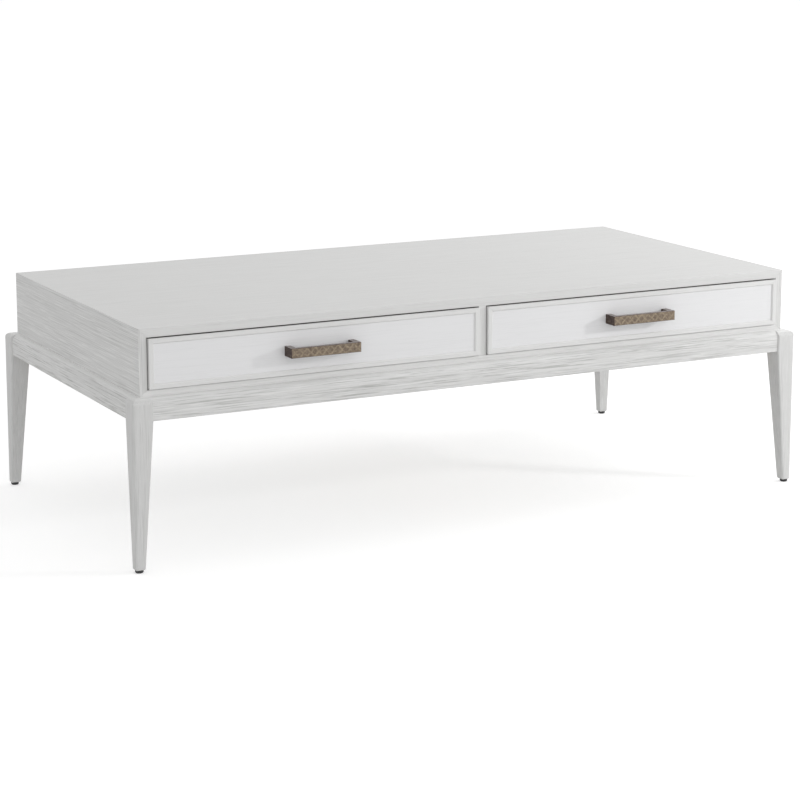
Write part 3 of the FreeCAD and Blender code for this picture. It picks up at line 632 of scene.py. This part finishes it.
class COFFEETABLE_OT_hardware(bpy.types.Operator):
    """Finish the slides and make the screws in the drawers"""

    bl_idname = "coffeetable.hardware"
    bl_label = "Slides and screws"

    def execute(self, context):
        steel = zinc_plated_steel()
        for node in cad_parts:
            if "_slide_" in node or node.endswith("_screws"):
                apply_finish(node, steel)
        for drawer in ("left_drawer", "right_drawer"):
            self.make_screws(drawer, steel, context.scene.table_sizes)
        return {"FINISHED"}

    def make_screws(self, drawer, steel, sizes):
        """Two screws that hold the pull and four heads that hold the drawer front, all inside the box."""
        low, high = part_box(f"{drawer}_pull_screws")
        box_low, box_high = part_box(f"{drawer}_box_front")
        middle = (box_low + box_high) / 2
        radius = (high.z - low.z) / 2
        pull_screws, front_screws = bmesh.new(), bmesh.new()
        for x in (low.x + radius, high.x - radius):
            seat = Vector((x, box_high.y, (low.z + high.z) / 2))
            self.add_screw(pull_screws, seat, radius, high.y - seat.y, sizes.shank_width / 2, seat.y - low.y)
        for x in (middle.x - sizes.screw_spread, middle.x + sizes.screw_spread):
            for z in (middle.z - sizes.screw_rise, middle.z + sizes.screw_rise):
                self.add_screw(front_screws, Vector((x, box_high.y, z)), radius, high.y - box_high.y)
        for name, mesh in ((f"{drawer}_cross_head_screws", pull_screws), (f"{drawer}_front_screws", front_screws)):
            screws = link_mesh(name, mesh)
            screws.data.materials.append(steel)
            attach(screws, drawer)
        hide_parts(f"{drawer}_pull_screws")

    def add_screw(self, mesh, seat, radius, height, shank=0, shank_length=0):
        """A domed head with a cross recess that looks into the drawer, on a shank if it has one."""
        turns, rings = 40, 10
        # The dome's fall towards the rim, and the cross recess in shares of the head's radius and height
        fall, half_width, reach_out, depth = 0.8, 0.14, 0.6, 0.6
        angles = [2 * math.pi * turn / turns for turn in range(turns)]
        corners = [(math.cos(around), math.sin(around)) for around in angles]

        def ring(reach, rise):
            flat = [(reach * u, reach * v) for u, v in corners]
            return [mesh.verts.new(seat + Vector((across, rise(across, up), up))) for across, up in flat]

        def dome(across, up):
            crown = height * math.sqrt(1 - fall * (across ** 2 + up ** 2) / radius ** 2)
            thin, wide = sorted((abs(across), abs(up)))
            recessed = thin < half_width * radius and wide < reach_out * radius
            return crown - depth * height if recessed else crown

        rows = [ring(radius * step / rings, dome) for step in range(rings, 0, -1)]
        back = [ring(radius, lambda across, up: 0)]
        if shank:
            back += [ring(shank, lambda across, up: 0), ring(shank, lambda across, up: -shank_length)]
        rows = back[::-1] + rows
        for outer, inner in zip(rows, rows[1:]):
            for corner in range(turns):
                after = (corner + 1) % turns
                mesh.faces.new((outer[corner], inner[corner], inner[after], outer[after]))
        mesh.faces.new(rows[0])
        mesh.faces.new(rows[-1][::-1])


class COFFEETABLE_OT_stage(bpy.types.Operator):
    """Set up the floor, the light and the camera"""

    bl_idname = "coffeetable.stage"
    bl_label = "Stage"

    def execute(self, context):
        scene = context.scene
        settings = scene.table_stage
        scene.view_settings.view_transform = "Standard"
        self.make_floor(scene, settings)
        self.make_sky(scene, settings)
        for lamp in ("key", "softbox", "fill"):
            place, size, watts = (getattr(settings, f"{lamp}_{fact}") for fact in ("place", "size", "watts"))
            self.add_lamp(scene, lamp, place, size, watts)
        camera = bpy.data.objects.new("camera", bpy.data.cameras.new("camera"))
        camera.data.lens = settings.lens
        camera.data.shift_y = settings.camera_shift
        camera.data.clip_end = SIGHT
        camera.location = settings.camera_place
        camera.rotation_euler = (math.pi / 2 - settings.camera_pitch, 0, -settings.camera_yaw)
        scene.collection.objects.link(camera)
        scene.camera = camera
        return {"FINISHED"}

    def white_to_eye(self, tree):
        """One where a ray comes from the camera or by way of gloss or glass, else zero."""
        path = add_node(tree, "LightPath").outputs
        seen = path["Is Camera Ray"]
        for kind in ("Is Glossy Ray", "Is Transmission Ray"):
            seen = add_node(tree, "Math", {0: seen, 1: path[kind]}, operation="MAXIMUM")
        return seen

    def make_floor(self, scene, settings):
        """A wide pale floor that looks white, keeps the table's shadow and is clear from below."""
        mesh = bpy.data.meshes.new("floor")
        corners = [(FLOOR_REACH * x, FLOOR_REACH * y, 0) for x, y in ((-1, -1), (1, -1), (1, 1), (-1, 1))]
        mesh.from_pydata(corners, [], [(0, 1, 2, 3)])
        floor = bpy.data.objects.new("floor", mesh)
        material, tree = new_material("studio_floor")
        paint = add_node(tree, "BsdfDiffuse", {"Color": rgba(settings.floor)})
        lift = add_node(tree, "Math", {0: self.white_to_eye(tree), 1: settings.floor_lift}, operation="MULTIPLY")
        glow = add_node(tree, "Emission", {"Color": WHITE, "Strength": lift})
        upper = add_node(tree, "AddShader", {0: paint, 1: glow})
        below = add_node(tree, "NewGeometry").outputs["Backfacing"]
        surface = add_node(tree, "MixShader", {0: below, 1: upper, 2: add_node(tree, "BsdfTransparent")})
        add_node(tree, "OutputMaterial", {"Surface": surface})
        mesh.materials.append(material)
        scene.collection.objects.link(floor)
        floor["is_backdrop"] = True

    def make_sky(self, scene, settings):
        """Soft light all round, weaker overhead and on either side, white to the eye."""
        world = bpy.data.worlds.new("studio")
        world.use_nodes = True
        tree = world.node_tree
        tree.nodes.clear()
        way = add_node(tree, "TexCoord").outputs["Generated"]
        part = add_node(tree, "SeparateXYZ", {0: way}).outputs
        overhead = (1 - settings.zenith) * settings.sky
        high = add_node(tree, "MapRange", {"Value": part["Z"], "To Min": settings.sky, "To Max": overhead})
        aside = add_node(tree, "Math", {0: part["X"]}, operation="ABSOLUTE")
        flanks = add_node(tree, "MapRange", {"Value": aside, "To Min": 1, "To Max": 1 - settings.flanks})
        light = add_node(tree, "Math", {0: high, 1: flanks}, operation="MULTIPLY")
        strength = add_node(tree, "MapRange", {"Value": self.white_to_eye(tree), "To Min": light, "To Max": 1})
        add_node(tree, "OutputWorld", {"Surface": add_node(tree, "Background", {"Color": WHITE, "Strength": strength})})
        scene.world = world

    def add_lamp(self, scene, name, place, size, watts):
        """A square lamp that faces the middle of the table."""
        lamp = bpy.data.lights.new(name, "AREA")
        lamp.energy = watts
        lamp.size = size
        holder = bpy.data.objects.new(name, lamp)
        holder.location = place
        low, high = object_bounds()
        aim = (low + high) / 2 - holder.location
        holder.rotation_euler = aim.to_track_quat("-Z", "Y").to_euler()
        scene.collection.objects.link(holder)


OPERATORS = (
    COFFEETABLE_OT_case,
    COFFEETABLE_OT_base,
    COFFEETABLE_OT_glides,
    COFFEETABLE_OT_drawer_fronts,
    COFFEETABLE_OT_pulls,
    COFFEETABLE_OT_drawer_boxes,
    COFFEETABLE_OT_hardware,
    COFFEETABLE_OT_stage,
)


class COFFEETABLE_PT_sidebar(bpy.types.Panel):
    """The table's steps, sizes and colours"""

    bl_idname = "COFFEETABLE_PT_sidebar"
    bl_label = "Coffee Table"
    bl_space_type = "VIEW_3D"
    bl_region_type = "UI"
    bl_category = "Coffee Table"

    def draw(self, context):
        for operator in OPERATORS:
            self.layout.operator(operator.bl_idname)
        for group in ("table_sizes", "table_colours", "table_stage"):
            settings = getattr(context.scene, group)
            for name in settings.__annotations__:
                self.layout.prop(settings, name)


GROUPS = {"table_colours": TableColours, "table_sizes": TableSizes, "table_stage": StageSettings}


def register():
    """Register the settings, the operators and the panel."""
    for cls in (*GROUPS.values(), *OPERATORS, COFFEETABLE_PT_sidebar):
        bpy.utils.register_class(cls)
    for name, group in GROUPS.items():
        setattr(bpy.types.Scene, name, bpy.props.PointerProperty(type=group))


def unregister():
    """Take them out again."""
    for name in GROUPS:
        delattr(bpy.types.Scene, name)
    for cls in (COFFEETABLE_PT_sidebar, *reversed(OPERATORS), *GROUPS.values()):
        bpy.utils.unregister_class(cls)


def main():
    """Finish the whole table."""
    register()
    for operator in OPERATORS:
        family, step = operator.bl_idname.split(".")
        getattr(getattr(bpy.ops, family), step)()


if __name__ == "__main__":
    main()
